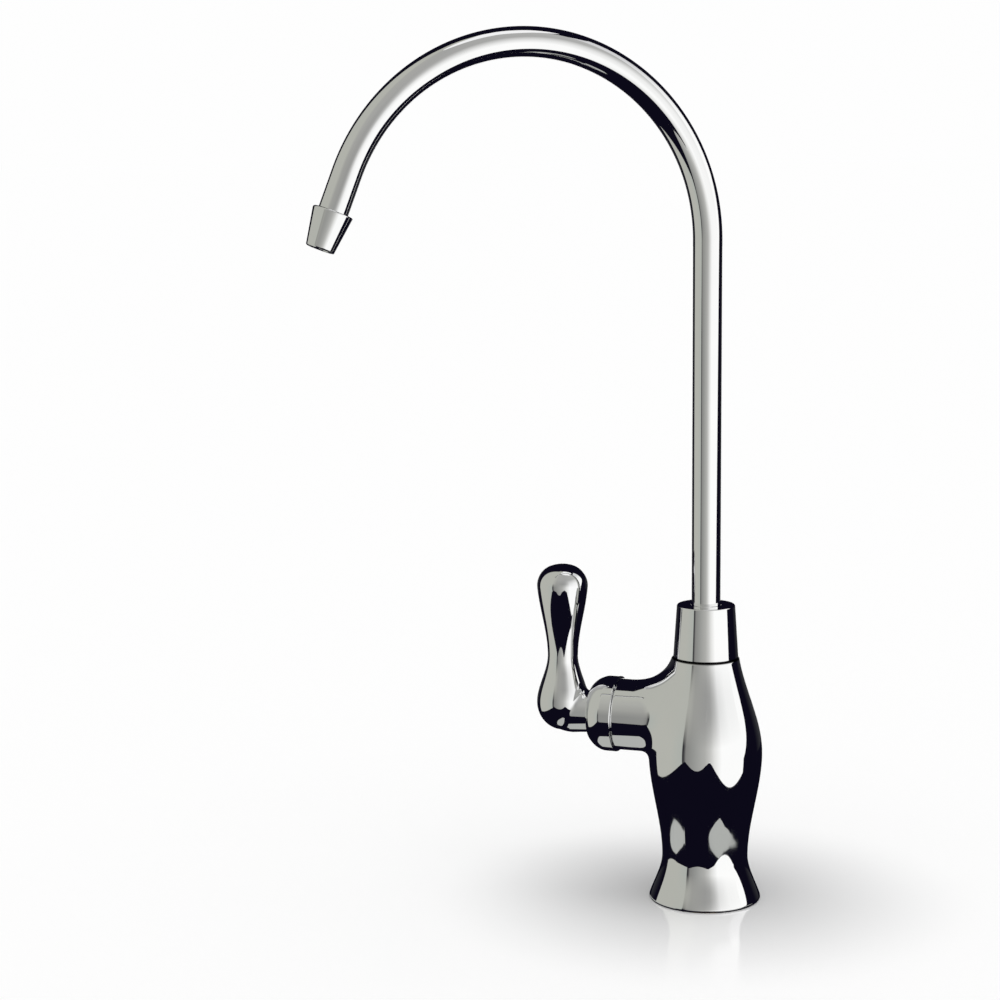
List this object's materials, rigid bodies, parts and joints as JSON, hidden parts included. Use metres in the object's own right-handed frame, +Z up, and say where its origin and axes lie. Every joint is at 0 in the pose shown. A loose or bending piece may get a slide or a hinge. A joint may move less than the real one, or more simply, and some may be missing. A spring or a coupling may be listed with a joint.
{
  "type": "drinking water filter tap",
  "caption": "Slim gooseneck tap for filtered drinking water: the spout swivels on a vase-shaped body, a side lever turns the valve, and a threaded shank clamps it through a worktop.",
  "frame": {"origin": "on the body's axis, in the plane of the worktop's upper face", "axes": "+Z up along the body's axis; -X from the body towards the outlet of the spout at rest"},
  "size_m": [0.1611, 0.0627, 0.3893],
  "materials": {
    "chrome": "bright polished chrome plate",
    "brass": "machined, unplated",
    "steel": "plain stainless",
    "rubber": "matt black",
    "ceramic": "lapped alumina",
    "acetal": "moulded, off white"
  },
  "bodies": {
    "tap_body": {"body": "chrome", "spout_collar": "chrome", "spout_bearing_ring": "acetal", "base_seal": "rubber", "valve_bonnet": "chrome", "cartridge_housing": "brass", "cartridge_o_ring": "rubber", "seat_seal": "rubber", "fixed_disc": "ceramic", "thrust_washer": "acetal", "shank": "brass", "inlet_connector": "acetal", "inlet_o_ring": "rubber"},
    "spout": {"spout_tube": "chrome", "spout_tip": "chrome", "flow_straightener": "acetal", "spout_ferrule": "brass", "spout_o_rings": "rubber"},
    "lever": {"lever_handle": "chrome", "handle_screw": "steel", "valve_stem": "brass", "moving_disc": "ceramic", "stem_o_rings": "rubber", "stem_clip": "steel"},
    "clamp": {"backing_washer": "rubber", "clamp_washer": "steel", "lock_washer": "steel", "mounting_nut": "brass"},
    "collet": {"inlet_collet": "steel"}
  },
  "joints": [
    {"name": "spout_swivel", "type": "hinge", "parent": "tap_body", "child": "spout", "pos_m": [0, 0, 0], "axis": [0, 0, 1], "continuous": true},
    {"name": "lever_turn", "type": "hinge", "parent": "tap_body", "child": "lever", "pos_m": [0, 0, 0.064], "axis": [0.766, -0.6428, 0], "range_deg": [0, 90]},
    {"name": "clamp_travel", "type": "slide", "parent": "tap_body", "child": "clamp", "axis": [0, 0, 1], "range_m": [-0.015, 0.017]},
    {"name": "collet_release", "type": "slide", "parent": "tap_body", "child": "collet", "axis": [0, 0, 1], "range_m": [0, 0.0015]}
  ]
}
